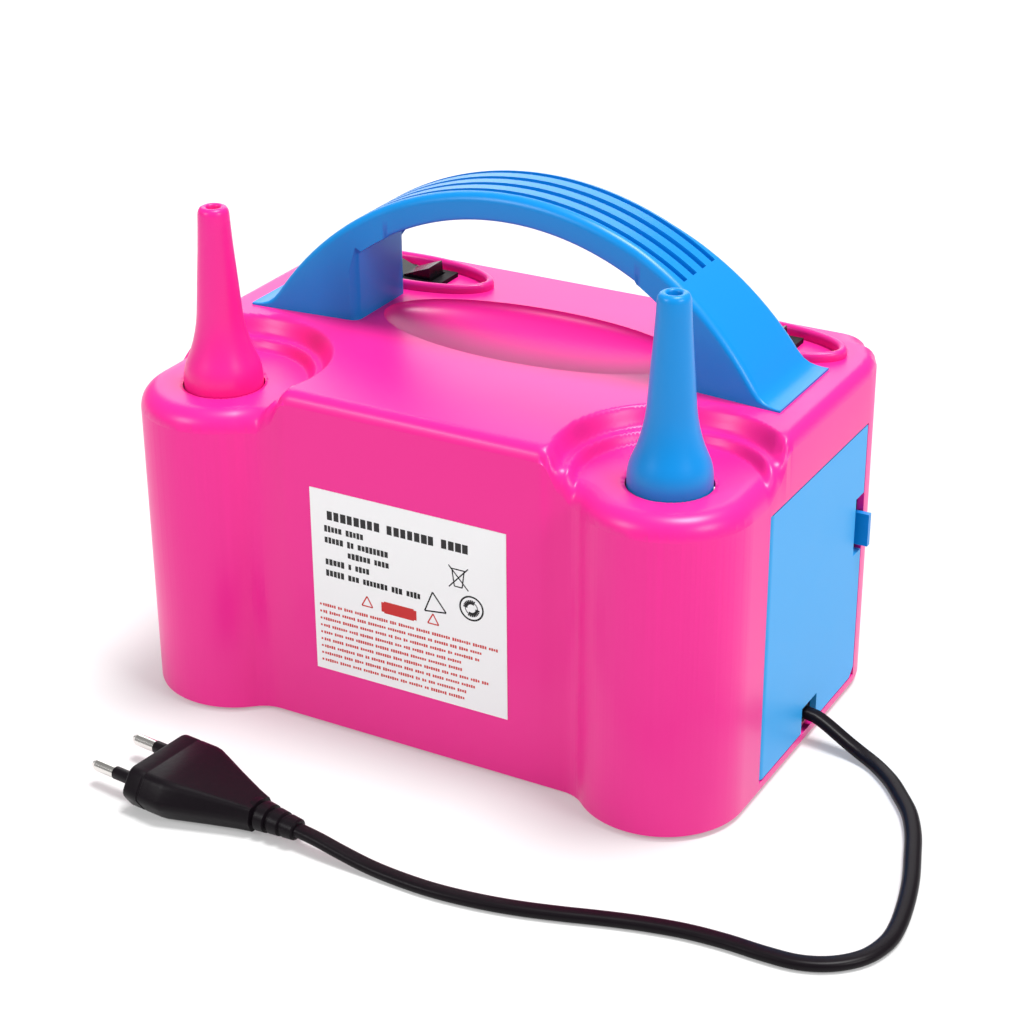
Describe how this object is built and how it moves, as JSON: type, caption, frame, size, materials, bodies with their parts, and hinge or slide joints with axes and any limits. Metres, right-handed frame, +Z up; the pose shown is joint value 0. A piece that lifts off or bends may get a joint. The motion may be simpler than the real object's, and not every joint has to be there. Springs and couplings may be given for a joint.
{
  "type": "electric balloon pump",
  "caption": "Box-shaped mains air pump with round front towers, press-down tapered nozzles, an arched carry handle, rocker switches, a hinged cord door and a flat cord with plug.",
  "frame": {"origin": "middle of the casing's footprint, on the surface that the feet stand on, leaving out the mains cord and plug", "axes": "+X to the side with the cord door, +Y to the rear, +Z up; the nozzles stand at the front, towards -Y"},
  "size_m": [0.2812, 0.209, 0.17],
  "materials": {
    "pink_plastic": "moulded ABS, soft gloss",
    "blue_plastic": "moulded ABS, soft gloss",
    "door_blue_plastic": "moulded ABS, satin",
    "black_plastic": "fine texture",
    "rocker_plastic": "moulded, glossy",
    "red_plastic": "moulded",
    "black_rubber": "soft moulded rubber",
    "cord_pvc": "PVC cord jacket, satin",
    "plug_pvc": "moulded PVC, satin",
    "sticker_vinyl": "printed vinyl film",
    "ivory_nylon": "moulded nylon",
    "zinc_steel": "zinc plated",
    "spring_steel": "drawn wire",
    "lamination_steel": "stamped laminations",
    "nickel_plate": "nickel plated brass",
    "copper_wire": "enamelled winding",
    "copper_segments": "machined copper",
    "bearing_bronze": "sintered bronze",
    "brush_brass": "folded brass"
  },
  "bodies": {
    "housing": {"upper_casing": "pink_plastic", "base_plate": "pink_plastic", "rubber_feet": "black_rubber", "casing_screws": "zinc_steel", "carry_handle": "blue_plastic", "handle_screws": "zinc_steel", "rating_label": "sticker_vinyl", "door_hinge_pins": "zinc_steel", "cord_compartment": "black_plastic", "cord_gland": "black_rubber", "power_cord": "cord_pvc", "plug_body": "plug_pvc", "plug_pins": "nickel_plate", "terminal_block": "ivory_nylon", "mains_lead": "cord_pvc", "left_nozzle_spring": "spring_steel", "right_nozzle_spring": "spring_steel", "left_air_duct": "ivory_nylon", "right_air_duct": "ivory_nylon", "left_trigger_switch": "black_plastic", "right_trigger_switch": "black_plastic", "left_fan_housing": "ivory_nylon", "right_fan_housing": "ivory_nylon", "left_fan_cover": "ivory_nylon", "right_fan_cover": "ivory_nylon", "left_stator": "lamination_steel", "right_stator": "lamination_steel", "left_field_coils": "copper_wire", "right_field_coils": "copper_wire", "left_bearings": "bearing_bronze", "right_bearings": "bearing_bronze", "left_brush_holders": "brush_brass", "right_brush_holders": "brush_brass", "left_motor_bracket": "ivory_nylon", "right_motor_bracket": "ivory_nylon", "left_rocker_switch": "black_plastic", "right_rocker_switch": "black_plastic"},
    "door": {"cord_door": "door_blue_plastic"},
    "latch": {"door_latch": "blue_plastic"},
    "left_nozzle": {"left_nozzle": "pink_plastic", "left_nozzle_seal": "black_rubber"},
    "left_button": {"left_trigger_button": "red_plastic"},
    "left_rotor": {"left_armature": "lamination_steel", "left_commutator": "copper_segments", "left_impeller": "ivory_nylon"},
    "left_rocker": {"left_rocker": "rocker_plastic"},
    "right_nozzle": {"right_nozzle": "blue_plastic", "right_nozzle_seal": "black_rubber"},
    "right_button": {"right_trigger_button": "red_plastic"},
    "right_rotor": {"right_armature": "lamination_steel", "right_commutator": "copper_segments", "right_impeller": "ivory_nylon"},
    "right_rocker": {"right_rocker": "rocker_plastic"}
  },
  "joints": [
    {"name": "door_swing", "type": "hinge", "parent": "housing", "child": "door", "pos_m": [0.1051, -0.0294, 0.051], "axis": [0, 0, -1], "range_deg": [0, 95]},
    {"name": "latch_slide", "type": "slide", "parent": "door", "child": "latch", "axis": [0, -1, 0], "range_m": [0, 0.0018], "stiffness_N_per_m": 400, "springref_m": -0.003},
    {"name": "left_nozzle_press", "type": "slide", "parent": "housing", "child": "left_nozzle", "axis": [0, 0, -1], "range_m": [0, 0.003], "stiffness_N_per_m": 600, "springref_m": -0.004, "deforming": ["left_nozzle_spring"]},
    {"name": "left_button_press", "type": "slide", "parent": "housing", "child": "left_button", "axis": [0, 0, -1], "range_m": [0, 0.003], "stiffness_N_per_m": 50, "springref_m": -0.002},
    {"name": "left_rocker_tilt", "type": "hinge", "parent": "housing", "child": "left_rocker", "pos_m": [-0.065, 0.0468, 0.1184], "axis": [0, 1, 0], "range_deg": [-10, 10]},
    {"name": "left_motor_spin", "type": "hinge", "parent": "housing", "child": "left_rotor", "pos_m": [-0.037, 0.016, 0.05], "axis": [0, 0, 1], "continuous": true},
    {"name": "right_nozzle_press", "type": "slide", "parent": "housing", "child": "right_nozzle", "axis": [0, 0, -1], "range_m": [0, 0.003], "stiffness_N_per_m": 600, "springref_m": -0.004, "deforming": ["right_nozzle_spring"]},
    {"name": "right_button_press", "type": "slide", "parent": "housing", "child": "right_button", "axis": [0, 0, -1], "range_m": [0, 0.003], "stiffness_N_per_m": 50, "springref_m": -0.002},
    {"name": "right_rocker_tilt", "type": "hinge", "parent": "housing", "child": "right_rocker", "pos_m": [0.065, 0.0468, 0.1184], "axis": [0, 1, 0], "range_deg": [-10, 10]},
    {"name": "right_motor_spin", "type": "hinge", "parent": "housing", "child": "right_rotor", "pos_m": [0.037, 0.016, 0.05], "axis": [0, 0, 1], "continuous": true}
  ],
  "couplings": [
    {"joint": "left_button_press", "follows": "left_nozzle_press", "ratio": 1},
    {"joint": "right_button_press", "follows": "right_nozzle_press", "ratio": 1}
  ]
}
